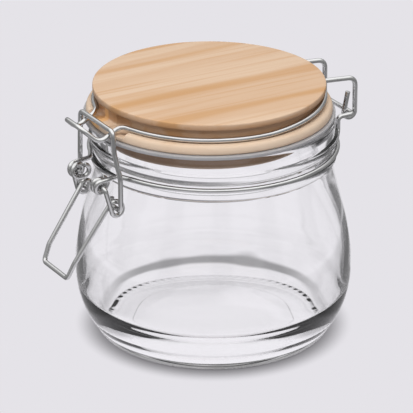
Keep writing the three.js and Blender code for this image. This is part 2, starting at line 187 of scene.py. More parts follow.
right = Vector((math.cos(VIEW_ROUND), math.sin(VIEW_ROUND), 0))
level_back = Vector((math.sin(VIEW_ROUND), -math.cos(VIEW_ROUND), 0))
back = level_back * math.cos(VIEW_DOWN) + Vector((0, 0, math.sin(VIEW_DOWN)))
up = back.cross(right)

camera = bpy.data.objects.new("camera", bpy.data.cameras.new("camera"))
camera.data.lens = LENS
camera.data.sensor_width = SENSOR
camera.location = AIM + back * CAMERA_DISTANCE - right * AIM_LEFT + up * AIM_UP
camera.rotation_mode = "QUATERNION"
camera.rotation_quaternion = (-back).to_track_quat("-Z", "Y")
bpy.context.scene.collection.objects.link(camera)
bpy.context.scene.camera = camera
bpy.context.scene.view_settings.view_transform = "Standard"
print("camera at", [round(v, 3) for v in camera.location])

# %% [markdown]
# ## Turned and moulded pieces
#
# Glass, lid and sealing ring are all round, so each one is an outline that is spun once about the axis.
# Straight stretches need two points and round ones a Bezier curve, which `interpolate_bezier` samples. A
# full spin closes on itself with `use_merge`, and the points that lie on the axis are merged after it.

# %% Outlines and the spin
FULL = 2 * math.pi
SAME_PLACE = 0.0005


def at(radius, height):
    """A point of an outline, from millimetres."""
    return Vector((radius, 0, height)) * MM


def curve(start, near_start, near_end, end, steps=18):
    """Points of a Bezier curve, without its start."""
    return interpolate_bezier(start, near_start, near_end, end, steps + 1)[1:]


def corner(start, tip, end, steps=6):
    """Points of a rounded corner, without its start. The tip is where the straight sides would meet."""
    return curve(start, start.lerp(tip, 2 / 3), end.lerp(tip, 2 / 3), end, steps)


def spun(outline, steps, closed=False, middle=0):
    """A mesh made by spinning an outline once round an upright axis, whose Y is given in millimetres."""
    bm = bmesh.new()
    verts = [bm.verts.new(point) for point in outline]
    pairs = list(zip(verts, verts[1:]))
    if closed:
        pairs.append((verts[-1], verts[0]))
    edges = [bm.edges.new(pair) for pair in pairs]
    full_turn = {"cent": (0, 0, 0), "axis": (0, 0, 1), "angle": FULL}
    bmesh.ops.spin(bm, geom=verts + edges, steps=steps, use_merge=True, **full_turn)
    bmesh.ops.remove_doubles(bm, verts=bm.verts[:], dist=SAME_PLACE * MM)
    bmesh.ops.recalc_face_normals(bm, faces=bm.faces[:])
    bmesh.ops.translate(bm, verts=bm.verts[:], vec=(0, middle * MM, 0))
    return bm


def finished(name, bm, material, body, node, sharp=40):
    """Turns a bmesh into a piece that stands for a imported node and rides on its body."""
    mesh = bpy.data.meshes.new(name)
    bm.to_mesh(mesh)
    bm.free()
    mesh.shade_smooth()
    mesh.set_sharp_from_angle(angle=math.radians(sharp))
    mesh.materials.append(material)
    made = bpy.data.objects.new(name, mesh)
    bpy.context.scene.collection.objects.link(made)
    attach(made, body)
    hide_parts(node)
    print(name, "has", len(mesh.polygons), "faces and rides on", body)


print("points closer than", SAME_PLACE, "mm are merged after a spin")

# %% [markdown]
# ## Glass finish
#
# Clear soda glass bends light by an index of 1.5 and hides nothing. A renderer lets no lamp light through
# a bending surface, so shadow rays get a plain see-through surface in its place: the floor then keeps a
# soft shadow under the jar instead of a black one. A blown wall is never quite even, so a very shallow,
# wide bump makes the highlights run a little unsteadily.

# %% Glass material
GLASS_INDEX = 1.5
SHADOW_TINT = (0.45, 0.45, 0.46, 1)
WAVE_SCALE = 45
WAVE_HEIGHT = 0.3
WAVE_STRENGTH = 0.12
SMEAR_SCALE = 70
SMEAR_ROUGHNESS = 0.02


def clear_glass():
    material, finish = new_finish("clear_glass")
    place = finish.node("TexCoord", out="Object")
    uneven = finish.noise(finish.stretched(place, (1, 1, 0.5)), WAVE_SCALE, 1)
    waves = finish.node("Bump", None, {
        "Strength": WAVE_STRENGTH, "Distance": WAVE_HEIGHT * MM, "Height": uneven})
    smears = finish.noise(place, SMEAR_SCALE, 3)
    glass = finish.node("BsdfPrincipled", None, {
        "Base Color": (1, 1, 1, 1), "Transmission Weight": 1, "IOR": GLASS_INDEX,
        "Roughness": smears.ease(0.5, 0.9) * SMEAR_ROUGHNESS, "Normal": waves})
    through = finish.node("BsdfTransparent", None, {"Color": SHADOW_TINT})
    shadow = finish.node("LightPath", out="Is Shadow Ray")
    finish.show(finish.node("MixShader", None, {0: shadow, 1: glass, 2: through}))
    return material


glass_material = clear_glass()
print("finish:", glass_material.name)

# %% [markdown]
# ## Glass body
#
# The body was blown into a mould: outside it follows the mould, inside it is a little uneven. From below,
# the outline runs over the hollow underside, the ring that the jar stands on, heel, belly and shoulder,
# then up the neck with its bead, wire groove and lip, over the rim and down the inside. The floor is thin
# and the corner inside it wide, because that corner decides where a look through the glass turns dark. The
# ring curls up a little at its outer edge, so the glass meets the table on a soft line. Two things come
# after the spin. Short bars are pressed into the ring, and the glass is moved in and out a little round the
# inside corner, where it was thickest and sagged last.

# %% Glass sizes
glass_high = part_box("glass_jar")[1]
BODY_RADIUS = glass_high.x / MM
RIM_HEIGHT = glass_high.z / MM
BELLY_HEIGHT = 28
HEEL_RADIUS = 48.8
HEEL_HEIGHT = 4
FOOT_RADIUS = 45.6
FOOT_WIDTH = 5
FOOT_CURL = 0.22
PUSH_UP_HEIGHT = 1
PUSH_UP_RADIUS = 32.5
PUSH_UP_LINE = 0.08
WALL = 3
FLOOR = 2.4
INSIDE_CORNER = 8
CORNER_RUN = 4.4
CORNER_RISE = 8.8
SHOULDER_HEIGHT = 72.6
SHOULDER_EASE = 2.5
SHOULDER_WALL = 3.6
COLLAR_RADIUS = 50
COLLAR_HEIGHT = 11.8
NECK_RADIUS = COLLAR_RADIUS - 2.7
BEAD_RADIUS = COLLAR_RADIUS - 0.6
GROOVE_RADIUS = COLLAR_RADIUS - 1.7
RIM_RADIUS = COLLAR_RADIUS - 1.3
MOUTH_RADIUS = COLLAR_RADIUS - 7.5
STEP_OUT = 0.3
STEP_UP = 0.5
BEAD_HEIGHT = 4.5
LIP_HEIGHT = 5
LIP_SWELL = 1.1
LIP_CREASE = 0.25
RIM_ROUNDING = 2

# Where the handles of the Bezier curves lie, as shares of the stretch that they belong to.
BELLY_HANDLE = 0.45
HEEL_HANDLE_OUT = 0.6
HEEL_HANDLE_UP = 0.23
SHOULDER_HANDLE = 0.38
NECK_HANDLE = 0.68
INNER_NECK_HANDLE = 0.6

groove_bottom = SHOULDER_HEIGHT + BEAD_HEIGHT
groove_top = RIM_HEIGHT - COLLAR_HEIGHT
lip_top = groove_top + LIP_HEIGHT
floor_top = PUSH_UP_HEIGHT + FLOOR
foot_inner = FOOT_RADIUS - FOOT_WIDTH
belly_lift = BELLY_HANDLE * (BELLY_HEIGHT - HEEL_HEIGHT)
heel_run = HEEL_HANDLE_OUT * (BODY_RADIUS - HEEL_RADIUS)
heel_rise = HEEL_HANDLE_UP * (BELLY_HEIGHT - HEEL_HEIGHT)
shoulder_run = SHOULDER_HEIGHT - BELLY_HEIGHT
shoulder_lift = SHOULDER_HANDLE * shoulder_run
print("glass", BODY_RADIUS, "mm in radius and", round(RIM_HEIGHT, 1), "mm high")


# %% Glass outline
RADII_WITHIN_LINE = (0, 6, 12, 18, 24, 29)
RADII_BEYOND_LINE = (34.5, 36.5, 38.5)
RING_STEPS = 10


def hollow(radius):
    """A point of the hollow underside: a shallow dome, with a fine raised line round it."""
    on_line = abs(radius - PUSH_UP_RADIUS) < 1.5 * PUSH_UP_LINE
    height = PUSH_UP_HEIGHT * (1 - (radius / foot_inner) ** 2)
    return at(radius, height) + at(0, PUSH_UP_LINE if on_line else 0)


def underside():
    """From the middle of the hollow underside, over the standing ring, to the heel."""
    line = [PUSH_UP_RADIUS + step * PUSH_UP_LINE for step in (-2, -1, 1, 2)]
    radii = [*RADII_WITHIN_LINE, *line, *RADII_BEYOND_LINE, foot_inner]
    points = [hollow(radius) for radius in radii]
    for step in range(1, RING_STEPS + 1):
        outer_half = max(2 * step / RING_STEPS - 1, 0)
        points.append(at(foot_inner + step * FOOT_WIDTH / RING_STEPS, FOOT_CURL * outer_half ** 2))
    tip = at((FOOT_RADIUS + HEEL_RADIUS) / 2, 2 * FOOT_CURL)
    return points + corner(points[-1], tip, at(HEEL_RADIUS, HEEL_HEIGHT), steps=10)


def belly_and_neck():
    """From the heel to the outer edge of the rim."""
    heel = at(HEEL_RADIUS, HEEL_HEIGHT)
    belly = at(BODY_RADIUS, BELLY_HEIGHT)
    neck = at(NECK_RADIUS, SHOULDER_HEIGHT)
    ease = at(NECK_RADIUS + SHOULDER_EASE, BELLY_HEIGHT + NECK_HANDLE * shoulder_run)
    points = curve(heel, heel + at(heel_run, heel_rise), belly - at(0, belly_lift), belly)
    points += curve(belly, belly + at(0, shoulder_lift), ease, neck)
    points.append(neck + at(STEP_OUT, STEP_UP))
    bead = at(BEAD_RADIUS, SHOULDER_HEIGHT + BEAD_HEIGHT / 2)
    points += corner(points[-1], at(BEAD_RADIUS, SHOULDER_HEIGHT + 2 * STEP_UP), bead)
    points += corner(bead, at(BEAD_RADIUS, groove_bottom), at(GROOVE_RADIUS, groove_bottom))
    points += [at(GROOVE_RADIUS, groove_top), at(GROOVE_RADIUS + LIP_CREASE, groove_top)]
    lip = at(COLLAR_RADIUS + LIP_SWELL, lip_top - LIP_SWELL)
    points += corner(points[-1], lip, at(RIM_RADIUS + LIP_CREASE, lip_top), steps=14)
    points += [at(RIM_RADIUS, lip_top + LIP_CREASE), at(RIM_RADIUS, RIM_HEIGHT - RIM_ROUNDING)]
    rim = at(RIM_RADIUS - RIM_ROUNDING, RIM_HEIGHT)
    return points + corner(points[-1], at(RIM_RADIUS, RIM_HEIGHT), rim)


def inside():
    """From the inner edge of the rim to the middle of the floor."""
    points = [at(MOUTH_RADIUS + RIM_ROUNDING, RIM_HEIGHT)]
    mouth = at(MOUTH_RADIUS, RIM_HEIGHT - RIM_ROUNDING)
    points += corner(points[-1], at(MOUTH_RADIUS, RIM_HEIGHT), mouth)
    points.append(at(MOUTH_RADIUS, groove_bottom))
    shoulder = at(NECK_RADIUS - SHOULDER_WALL, SHOULDER_HEIGHT - BEAD_HEIGHT)
    points += corner(points[-1], at(MOUTH_RADIUS, SHOULDER_HEIGHT), shoulder)
    belly = at(BODY_RADIUS - WALL, BELLY_HEIGHT)
    ease = at(NECK_RADIUS + SHOULDER_EASE - WALL, BELLY_HEIGHT + INNER_NECK_HANDLE * shoulder_run)
    points += curve(shoulder, ease, belly + at(0, shoulder_lift), belly)
    heel = at(HEEL_RADIUS, floor_top + CORNER_RISE)
    slope = at(CORNER_RUN, CORNER_RISE)
    points += curve(belly, belly - at(0, belly_lift), heel + slope, heel)
    floor_edge = at(HEEL_RADIUS - INSIDE_CORNER, floor_top)
    points += corner(heel, heel - slope, floor_edge, steps=14)
    points += [floor_edge.lerp(at(0, floor_top), share) for share in (0.1, 0.25, 0.5, 0.75, 1)]
    return points


glass_outline = underside() + belly_and_neck() + inside()
print("glass outline of", len(glass_outline), "points")

# %% Spin the glass, press its standing ring and let its inside corner sag
SPIN_STEPS = 288
BAR_STEPS = 4
BAR_DEPTH = 0.1
SAG = 0.22
SAG_RADIUS = 46.5
SAG_HEIGHT = 10
SAG_SPREAD = 5.5
SAG_SIDE = math.radians(150)
SAG_FROM = floor_top - 0.1

# For each wave of the uneven glass: how often it comes in one turn, where it starts, and its share.
SAG_WAVES = ((3, 0.7, 1), (8, 2.1, 1), (17, 0, 0.5))


def is_bar(vert):
    """Whether a point of the underside belongs to one of the bars pressed into the standing ring."""
    step = round(math.atan2(vert.co.y, vert.co.x) / FULL * SPIN_STEPS)
    return step % BAR_STEPS < BAR_STEPS / 2 and vert.co.z < 2 * FOOT_CURL * MM


def bar_depth(place):
    """How deep a bar is pressed, in millimetres: deepest along the middle of the ring."""
    away = (place.to_2d().length / MM - FOOT_RADIUS) / FOOT_WIDTH + 0.5
    return BAR_DEPTH * (1 - min(2 * abs(away), 1))


def is_low(vert):
    """Whether a point lies on the inside below the belly, or on the heel outside it."""
    height = vert.co.z / MM
    radius = vert.co.to_2d().length / MM
    return SAG_FROM < height < BELLY_HEIGHT and radius < HEEL_RADIUS + CORNER_RUN


def sag(place):
    """How far the uneven glass lies off its plain shape, in millimetres: a few waves on one side."""
    turn = math.atan2(place.y, place.x)
    off = math.hypot(place.to_2d().length / MM - SAG_RADIUS, place.z / MM - SAG_HEIGHT)
    wave = sum(share * math.sin(count * turn + start) for count, start, share in SAG_WAVES)
    side = (0.5 + 0.5 * math.cos(turn - SAG_SIDE)) ** 2
    return SAG * side * wave * math.exp(-(off / SAG_SPREAD) ** 2)


glass = spun(glass_outline, SPIN_STEPS)
for vert in filter(is_bar, glass.verts):
    vert.co.z += bar_depth(vert.co) * MM
print("bars pressed into the standing ring:", SPIN_STEPS // BAR_STEPS)
glass.normal_update()
for vert in filter(is_low, glass.verts):
    vert.co += vert.normal * sag(vert.co) * MM
finished("blown_glass", glass, glass_material, "jar", "glass_jar", sharp=35)

# %% [markdown]
# ## Pine finish
#
# The lid is turned from a pale softwood board. Its figure comes from the tree: growth rings round a pith
# that lies outside the board, each one pale for most of its width and tan at its late edge. Rings worked
# out from the object's own coordinates run through the whole lid, so top, edge and underside agree, as
# they do in real wood. Fine fibres run along Y. The lower part is paler sapwood. Painted shade darkens the
# disc's edge, the wire groove under it and the plug's side, and painted warm shade fills the hollow of the
# scoop on the -X side. Those follow the lid's shape, so its sizes come first.

# %% Lid sizes
lid_low, lid_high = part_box("wooden_lid")
LID_MIDDLE = (lid_low.y + lid_high.y) / 2 / MM
FLANGE_RADIUS = lid_high.x / MM
LID_TOP = lid_high.z / MM
PLUG_BOTTOM = lid_low.z / MM
PLUG_PLAY = 0.4
PLUG_RADIUS = MOUTH_RADIUS + LID_MIDDLE - PLUG_PLAY
TOP_RADIUS = FLANGE_RADIUS - 2.7
LID_GROOVE_RADIUS = TOP_RADIUS - 1.8
TOP_THICKNESS = 2.8
LID_GROOVE_HEIGHT = 5.2
FLANGE_THICKNESS = 3.9
HOOK_WIDTH = 19.2
SCOOP_RADIUS = 5.5
SCOOP_REACH = 47

top_bottom = LID_TOP - TOP_THICKNESS
flange_top = top_bottom - LID_GROOVE_HEIGHT
flange_bottom = flange_top - FLANGE_THICKNESS
print("lid", round(2 * FLANGE_RADIUS, 1), "mm across and", round(LID_TOP - PLUG_BOTTOM, 1), "mm high")

# %% Pine material
PALE_WOOD = (0.74, 0.54, 0.38)
LATE_WOOD = (0.58, 0.30, 0.12)
WARM_WOOD = (0.60, 0.33, 0.14)
SAPWOOD = (0.82, 0.66, 0.51)
SCOOP_SHADE = (0.8, 0.47, 0.2)
PAINTED_SHADE = (0.36, 0.18, 0.08)
PITH = Vector((0.03, 0, 0.02))
RING_WIDTH = 9 * MM
RING_DRIFT = 2.2
DRIFT_GRAIN = (26, 5, 26)
FIBRE_GRAIN = (1900, 45, 1900)
STREAK_GRAIN = (420, 9, 420)
BROAD_GRAIN = (85, 4, 85)
TOOTH_HEIGHT = 0.15
CUT_SHIFT = 2.5
CUT_SPREAD = (0.95, 1.25)

# Where one finish goes over into the next: millimetres below the lid's top, and above the plug's bottom.
DISC_FADE = (0, 2.4)
SCOOP_START = (TOP_THICKNESS, TOP_THICKNESS + 0.5)
SAPWOOD_START = (6, 9)
GROOVE_END = (7, 8)
PLUG_START = (12, 13)
PLUG_EDGE = (0.2, 1.5)


def grain_noise(finish, place, scale, detail=2):
    """Noise that is fine across the board and long down its length."""
    return finish.noise(finish.stretched(place, scale), 1, detail)


def turned_pine():
    material, finish = new_finish("turned_pine")
    place = finish.node("TexCoord", out="Object")
    x, y, z = finish.parts(place)
    across = x - PITH.x
    depth = z - PITH.z
    radius = (across * across + depth * depth) ** 0.5
    drift = grain_noise(finish, place, DRIFT_GRAIN)
    ring = (radius / RING_WIDTH + drift * RING_DRIFT).function("FRACT")
    late = ring.ease(0.2, 0.85) * (1 - ring.ease(0.88, 1))
    fibre = grain_noise(finish, place, FIBRE_GRAIN, detail=3)
    streaks = grain_noise(finish, place, STREAK_GRAIN).ease(0.5, 0.72)
    broad = grain_noise(finish, place, BROAD_GRAIN).ease(0.48, 0.7)
    beside = x + (HOOK_WIDTH / 2 - CUT_SHIFT) * MM
    along = y - (LID_MIDDLE - SCOOP_REACH) * MM
    away = (beside * beside + along * along) ** 0.5 / (SCOOP_RADIUS * MM)
    down = (lid_high.z - z) / MM
    above_bottom = (z - lid_low.z) / MM
    # Painted shade: dark brown on the disc's edge and in the groove under it, and on the plug's side in the
    # mouth.
    groove_shade = down.ease(*DISC_FADE) * (1 - down.ease(*GROOVE_END))
    plug_shade = down.ease(*PLUG_START) * above_bottom.ease(*PLUG_EDGE)
    # Painted warm shade in the hollow of the -X scoop, where light bounces off the cut wood.
    scoop = down.ease(*SCOOP_START) * (1 - away.ease(*CUT_SPREAD))
    # Each layer: where it lies, the share of the wood below that it covers, and its colour.
    layers = [
        (late, 0.3, LATE_WOOD), (broad, 0.9, WARM_WOOD), (streaks, 0.4, LATE_WOOD),
        (fibre.ease(0.45, 0.8), 0.25, LATE_WOOD), (down.ease(*SAPWOOD_START), 0.7, SAPWOOD),
        (groove_shade, 0.55, PAINTED_SHADE), (plug_shade, 0.78, PAINTED_SHADE), (scoop, 0.9, SCOOP_SHADE)]
    colour = PALE_WOOD
    for amount, share, wood in layers:
        colour = finish.mix(amount * share, colour, wood)
    tooth = finish.node("Bump", None, {
        "Strength": 0.25, "Distance": TOOTH_HEIGHT * MM, "Height": fibre - late * 0.3})
    finish.show(finish.node("BsdfPrincipled", None, {
        "Base Color": colour, "Roughness": 0.5 + fibre * 0.18 - late * 0.08, "IOR": 1.45,
        "Normal": tooth}))
    return material


pine_material = turned_pine()
print("finish:", pine_material.name)

# %% [markdown]
# ## Lid
#
# One piece of pine, turned: a plug that drops into the mouth, a flange, a groove for the lid wire and a
# slimmer disc on top. Two scoops at the front let the wire turn out of its groove. They are cut with a
# Boolean by a round-nosed cutter, and the cut mesh is kept as it is, so that the cutters can go.

# %% Lid outline
EDGE = 1.2
TOP_EDGE = 0.7
FILLET = 0.4


def lid_outline():
    points = [at(0, PLUG_BOTTOM), at(PLUG_RADIUS - EDGE, PLUG_BOTTOM)]
    points += corner(points[-1], at(PLUG_RADIUS, PLUG_BOTTOM), at(PLUG_RADIUS, PLUG_BOTTOM + EDGE))
    points += [at(PLUG_RADIUS, flange_bottom), at(FLANGE_RADIUS - EDGE, flange_bottom)]
    side = at(FLANGE_RADIUS, flange_bottom + EDGE)
    points += corner(points[-1], at(FLANGE_RADIUS, flange_bottom), side)
    ledge = at(FLANGE_RADIUS - 1.5 * EDGE, flange_top)
    points += corner(side, at(FLANGE_RADIUS, flange_top), ledge, steps=10)
    points += [at(LID_GROOVE_RADIUS + FILLET, flange_top), at(LID_GROOVE_RADIUS, flange_top + FILLET)]
    points.append(at(LID_GROOVE_RADIUS, flange_top + LID_GROOVE_HEIGHT / 2))
    overhang = at(TOP_RADIUS - EDGE / 2, top_bottom)
    points += corner(points[-1], at(LID_GROOVE_RADIUS, top_bottom), overhang, steps=10)
    points += corner(overhang, at(TOP_RADIUS, top_bottom), at(TOP_RADIUS, top_bottom + EDGE), steps=8)
    points.append(at(TOP_RADIUS, LID_TOP - TOP_EDGE))
    points += corner(points[-1], at(TOP_RADIUS, LID_TOP), at(TOP_RADIUS - TOP_EDGE, LID_TOP), steps=8)
    points += [at(TOP_RADIUS * share, LID_TOP) for share in (0.7, 0.35, 0)]
    return points


lid_points = lid_outline()
print("lid outline of", len(lid_points), "points")

# %% Cut the scoops and finish the lid
TOUCH = 0.3
SCOOP_DEPTH = 2.2
SCOOP_NOSE = 1.4
LID_SPIN_STEPS = 192


def scoop_cutter(side):
    """The round-nosed cutter of one scoop, as an object."""
    low = flange_top - SCOOP_DEPTH
    high = top_bottom - TOUCH
    middle = Vector((side * HOOK_WIDTH / 2, LID_MIDDLE - SCOOP_REACH, (low + high) / 2)) * MM
    size = {"radius1": SCOOP_RADIUS * MM, "radius2": SCOOP_RADIUS * MM, "depth": (high - low) * MM}
    bm = bmesh.new()
    bmesh.ops.create_cone(bm, cap_ends=True, segments=64, **size)
    ends = [e for e in bm.edges if len({round(v.co.z, 6) for v in e.verts}) == 1]
    nose = {"affect": "EDGES", "segments": 5, "profile": 0.5, "material": -1}
    bmesh.ops.bevel(bm, geom=ends, offset=SCOOP_NOSE * MM, **nose)
    bmesh.ops.translate(bm, verts=bm.verts[:], vec=middle)
    mesh = bpy.data.meshes.new("scoop_cutter")
    bm.to_mesh(mesh)
    bm.free()
    cutter = bpy.data.objects.new("scoop_cutter", mesh)
    bpy.context.scene.collection.objects.link(cutter)
    return cutter


def cut(bm, cutters):
    """The bmesh of a shape after Boolean cuts."""
    mesh = bpy.data.meshes.new("uncut")
    bm.to_mesh(mesh)
    bm.free()
    shape = bpy.data.objects.new("uncut", mesh)
    bpy.context.scene.collection.objects.link(shape)
    for cutter in cutters:
        boolean = shape.modifiers.new("scoop", "BOOLEAN")
        boolean.operation = "DIFFERENCE"
        boolean.solver = "EXACT"
        boolean.object = cutter
    result = bmesh.new()
    result.from_object(shape, bpy.context.evaluated_depsgraph_get())
    for used in [shape, *cutters]:
        bpy.data.objects.remove(used)
    return result


turned = spun(lid_points, LID_SPIN_STEPS, middle=LID_MIDDLE)
lid = cut(turned, [scoop_cutter(side) for side in (-1, 1)])
finished("turned_lid", lid, pine_material, "lid", "wooden_lid", sharp=35)

# %% [markdown]
# ## Sealing ring
#
# A flat ring of clear silicone lies on the rim and the lid presses on it. Seen from the side it is a pale
# grey band: light enters it, scatters and comes out again. Part of the light is let through and the rest is
# scattered under the surface, so the band picks up some colour from the wood above it and stays soft.

# %% Silicone material and ring
SEAL_EDGE = 0.35
SEAL_SPREAD = 0.8 * TOUCH
SILICONE = (0.56, 0.55, 0.56)
CLOUDED = (0.70, 0.69, 0.70)
DUST = (0.86, 0.86, 0.86)
SCATTER = 2 * MM


def silicone():
    material, finish = new_finish("clear_silicone")
    place = finish.node("TexCoord", out="Object")
    cloud = finish.noise(place, 160, 3)
    dust = finish.noise(place, 1400, 1).ease(0.62, 0.75)
    colour = finish.mix(cloud, SILICONE, CLOUDED)
    finish.show(finish.node("BsdfPrincipled", None, {
        "Base Color": finish.mix(dust * 0.25, colour, DUST), "IOR": 1.41,
        "Roughness": 0.28 + dust * 0.2, "Transmission Weight": 0.35,
        "Subsurface Weight": 0.5, "Subsurface Radius": (SCATTER, SCATTER, SCATTER), "Subsurface Scale": 1}))
    return material


def seal_outline():
    inner = PLUG_RADIUS + TOUCH
    outer = seal_high.x / MM
    low = seal_low.z / MM - SEAL_SPREAD
    high = seal_high.z / MM + SEAL_SPREAD
    points = [at(inner, low), at(outer - SEAL_EDGE, low)]
    points += corner(points[-1], at(outer, low), at(outer, low + SEAL_EDGE))
    points.append(at(outer, high - SEAL_EDGE))
    points += corner(points[-1], at(outer, high), at(outer - SEAL_EDGE, high))
    points.append(at(inner, high))
    return points


seal_low, seal_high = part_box("sealing_ring")
seal = spun(seal_outline(), LID_SPIN_STEPS, closed=True, middle=LID_MIDDLE)
finished("sealing_band", seal, silicone(), "lid", "sealing_ring")

# %% [markdown]
# ## Wire finish
#
# Drawn steel wire is bright and almost mirror smooth, with faint lines along its length from the die that
# it was pulled through. The lines follow the wire through every bend, so they can't come from the object's
# coordinates. Each wire stores, in an attribute of its own, how far round and how far along it every point
# lies, and a noise that is long in the second direction draws the lines.

# %% Steel material
STEEL = (0.66, 0.66, 0.66)
DULL_STEEL = (0.48, 0.48, 0.48)
POLISH = 0.14


def drawn_steel():
    material, finish = new_finish("drawn_steel")
    drawn = finish.node("Attribute", {"attribute_name": "drawn"}, None, out="Vector")
    lines = finish.noise(drawn, 6, 2)
    handled = finish.noise(finish.node("TexCoord", out="Object"), 240, 2).ease(0.5, 0.8)
    finish.show(finish.node("BsdfPrincipled", None, {
        "Base Color": finish.mix(lines.ease(0.4, 0.8) * 0.5, STEEL, DULL_STEEL), "Metallic": 1,
        "Roughness": POLISH + lines * 0.1 + handled * 0.06}))
    return material


steel_material = drawn_steel()
print("finish:", steel_material.name)

# %% [markdown]
# ## Bending wire
#
# Each wire is one round section pushed along a route. The route is a short list of corners, arcs and
# coils for the right-hand half, and its mirror image completes it. Sharp corners are rounded to the bend
# radius of a wire former. The section starts as `create_circle`, and every step extrudes its edge, turns it
# into the new direction and moves it on. At the end both cut faces are filled and their edges bevelled.

# %% Round the corners of a route
BEND_STEP = math.radians(7)
SHARP = math.radians(10)
SLIGHT = math.radians(40)
SLIGHT_EASE = 3
MOST_TRIM = 0.48


def rounded(route, radius):
    """Rounds the corners of a route, and leaves the small turns of its arcs and coils as they are."""
    points = [route[0]]
    for before, tip, after_tip in zip(route, route[1:], route[2:]):
        behind = before - tip
        ahead = after_tip - tip
        turn = math.pi - behind.angle(ahead)
        if turn < SHARP:
            points.append(tip)
            continue
        ease = radius * (SLIGHT_EASE if turn < SLIGHT else 1)
        longest = MOST_TRIM * min(behind.length, ahead.length)
        trim = min(ease * math.tan(turn / 2), longest)
        start = tip + behind.normalized() * trim
        end = tip + ahead.normalized() * trim
        points += [start, *corner(start, tip, end, math.ceil(turn / BEND_STEP))]
    return points + [route[-1]]


print("turns of", round(math.degrees(SHARP)), "degrees or more are rounded")

# %% Push a round section along a route
WIRE = 2
WIRE_SIDES = 20
CUT_BEVEL = 0.25
LINE_STRETCH = 25


def directions(steps):
    """The direction at each point of a route: the mean of the step before it and the step after it."""
    units = [step.normalized() for step in steps]
    between = [(a + b).normalized() for a, b in zip(units, units[1:])]
    return [units[0], *between, units[-1]]


def of_kind(geometry, kind):
    return [element for element in geometry if isinstance(element, kind)]


def bent_wire(half):
    """Sweeps a round wire along half a route, in millimetres, and on along its mirror image."""
    mirrored = [Vector((-p.x, p.y, p.z)) for p in reversed(half[:-1])]
    route = [p * MM for p in half + mirrored]
    steps = [b - a for a, b in zip(route, route[1:])]
    faces = directions(steps)
    bm = bmesh.new()
    drawn = bm.verts.layers.float_vector.new("drawn")
    start = Matrix.Translation(route[0]) @ faces[0].to_track_quat("Z", "Y").to_matrix().to_4x4()
    ring = bmesh.ops.create_circle(bm, segments=WIRE_SIDES, radius=WIRE / 2 * MM, matrix=start)["verts"]
    for i, vert in enumerate(ring):
        angle = i / WIRE_SIDES * FULL
        vert[drawn] = (math.cos(angle), math.sin(angle), 0)
    rim = bm.edges[:]
    travelled = 0
    for here, step, facing, next_facing in zip(route, steps, faces, faces[1:]):
        made = bmesh.ops.extrude_edge_only(bm, edges=rim)["geom"]
        ring = of_kind(made, bmesh.types.BMVert)
        rim = [edge for edge in of_kind(made, bmesh.types.BMEdge) if edge.is_boundary]
        turn = facing.rotation_difference(next_facing).to_matrix()
        bmesh.ops.rotate(bm, verts=ring, cent=here, matrix=turn)
        bmesh.ops.translate(bm, verts=ring, vec=step)
        travelled += step.length / MM
        for vert in ring:
            vert[drawn].z = travelled / LINE_STRETCH
    cut_edges = [edge for edge in bm.edges if edge.is_boundary]
    bmesh.ops.holes_fill(bm, edges=cut_edges, sides=WIRE_SIDES)
    bmesh.ops.bevel(
        bm, geom=cut_edges, offset=CUT_BEVEL * MM, affect="EDGES", segments=3, profile=0.5, material=-1)
    bmesh.ops.recalc_face_normals(bm, faces=bm.faces[:])
    print("wire of", round(travelled), "mm in", len(route), "steps")
    return bm


print("wire", WIRE, "mm thick with", WIRE_SIDES, "sides")

# %% Arcs and coils of a route
QUARTER = math.pi / 2
ARC_STEP = math.radians(3)
COIL_STEP = math.radians(9)


def arc_round_jar(radius, height, rear_x, front_x):
    """Points of an arc about the jar's axis, from one X to another, on the +X side."""
    start = math.acos(rear_x / radius)
    turn = -math.acos(front_x / radius) - start
    steps = math.ceil(abs(turn) / ARC_STEP)
    angles = [start + turn * i / steps for i in range(steps + 1)]
    return [Vector((radius * math.cos(a), radius * math.sin(a), height)) for a in angles]


def tangent_reach(radius, leave_x, leg_x):
    """How far along Y a wire that leaves an arc on its tangent meets the line of a leg."""
    return (radius ** 2 - leave_x * leg_x) / math.sqrt(radius ** 2 - leave_x ** 2)


def coil(centre, radius, start, end, start_x, end_x):
    """Points of a coil along X, which turns from +Y towards +Z on its way from one X to another."""
    steps = math.ceil(abs(end - start) / COIL_STEP)
    points = []
    for i in range(steps + 1):
        angle = start + (end - start) * i / steps
        x = start_x + (end_x - start_x) * i / steps
        points.append(Vector((x, centre.y + radius * math.cos(angle), centre.z + radius * math.sin(angle))))
    return points


def meeting_angle(point, centre, radius):
    """The angle at which a straight wire from a point meets a coil."""
    y = centre.y - point.y
    z = centre.z - point.z
    return math.atan2(z, y) - math.asin(radius / math.hypot(y, z)) - QUARTER


def leaving_angle(centre, point, radius):
    """The angle at which a straight wire to a point leaves a coil."""
    y = point.y - centre.y
    z = point.z - centre.z
    return math.atan2(z, y) - math.acos(radius / math.hypot(y, z))


def after(angle, other):
    """The smallest angle of the same direction that comes after another one."""
    return angle + FULL * math.ceil((other - angle) / FULL)


print("coils with", round(FULL / COIL_STEP), "points a turn")

# %% [markdown]
# ## Neck wire
#
# One wire lies in the neck's groove. At the front each end is coiled into an eye for the lever, with its
# tail curled back to the glass. At the rear the wire climbs into a staple, whose bar is the lid's hinge.

# %% Bend the neck wire
COIL_GAP = 0.5
COIL_PITCH = WIRE + COIL_GAP
NECK_EYE_RADIUS = 2.5
NECK_EYE_SPAN = 22.8
NECK_EYE_TURNS = 1.48
NECK_EYE_LEAD = 6
NECK_EYE_TAIL = 1.9
TAIL_TURNS = 0.475
HINGE_WIDTH = 29
HINGE_RISE = 6.35
RISER_STAND_OFF = 0.7
RISER_LEAD = 6
TIGHT_BEND = 2

hinge = pivot["lid_swing"]
lever_pivot = pivot["lever_swing"]
link_pivot = pivot["link_swing"]
neck_eye_x = NECK_EYE_SPAN / 2
ring_height = hinge.z - HINGE_RISE
ring_radius = GROOVE_RADIUS + TOUCH + WIRE / 2


